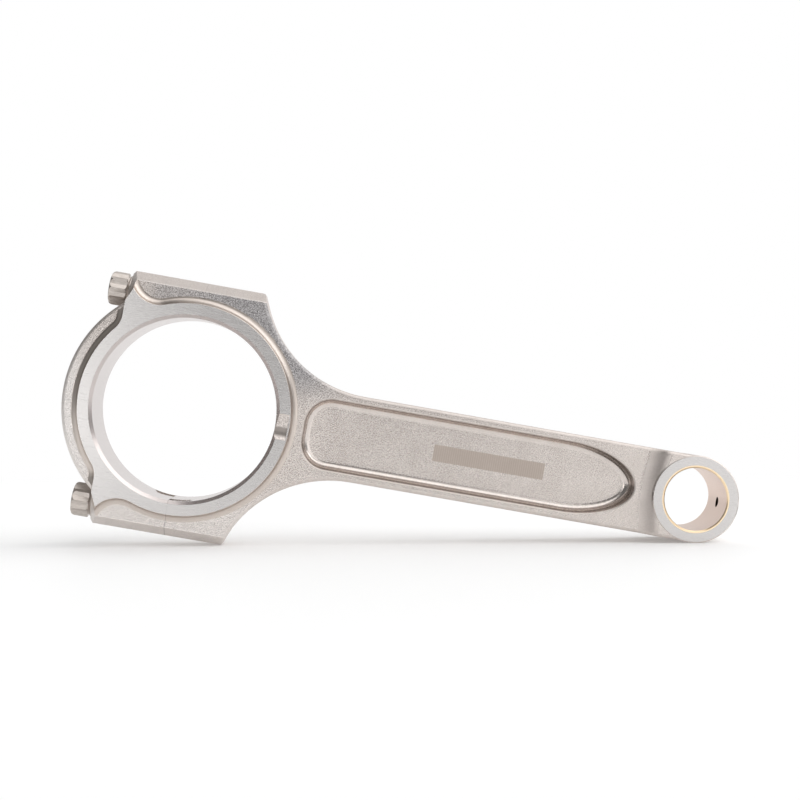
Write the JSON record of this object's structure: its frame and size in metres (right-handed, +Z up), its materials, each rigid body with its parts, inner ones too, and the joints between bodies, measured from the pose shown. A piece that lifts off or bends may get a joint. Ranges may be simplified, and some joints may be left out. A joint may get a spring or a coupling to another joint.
{
  "type": "connecting rod",
  "caption": "Forged H-beam connecting rod with bolted big-end cap, bronze small-end bush, pocketed beam and ground thrust faces.",
  "frame": {"origin": "centre of the crankpin bore at mid width", "axes": "+Y along both bores, away from the viewer; +Z up with the rod standing on its edge; +X towards the piston-pin end, whose centre line dips below +X"},
  "size_m": [0.214, 0.025, 0.0875],
  "materials": {
    "forged_steel": "shot-peened forging with ground thrust faces and polished fillets",
    "bush_bronze": "bored bronze, satin",
    "bolt_steel": "heat-treated alloy steel, satin grey-brown",
    "sleeve_steel": "ground"
  },
  "bodies": {
    "rod": {"rod_body": "forged_steel", "small_end_bush": "bush_bronze", "dowel_sleeve_upper": "sleeve_steel", "dowel_sleeve_lower": "sleeve_steel"},
    "cap": {"big_end_cap": "forged_steel"},
    "bolt_upper": {"cap_bolt_upper": "bolt_steel"},
    "bolt_lower": {"cap_bolt_lower": "bolt_steel"}
  },
  "joints": [
    {"name": "cap_lift_off", "type": "slide", "parent": "rod", "child": "cap", "axis": [-0.9839, 0, 0.1789], "range_m": [0, 0.06]},
    {"name": "bolt_upper_withdraw", "type": "slide", "parent": "cap", "child": "bolt_upper", "axis": [-0.9839, 0, 0.1789], "range_m": [0, 0.042]},
    {"name": "bolt_lower_withdraw", "type": "slide", "parent": "cap", "child": "bolt_lower", "axis": [-0.9839, 0, 0.1789], "range_m": [0, 0.042]}
  ]
}
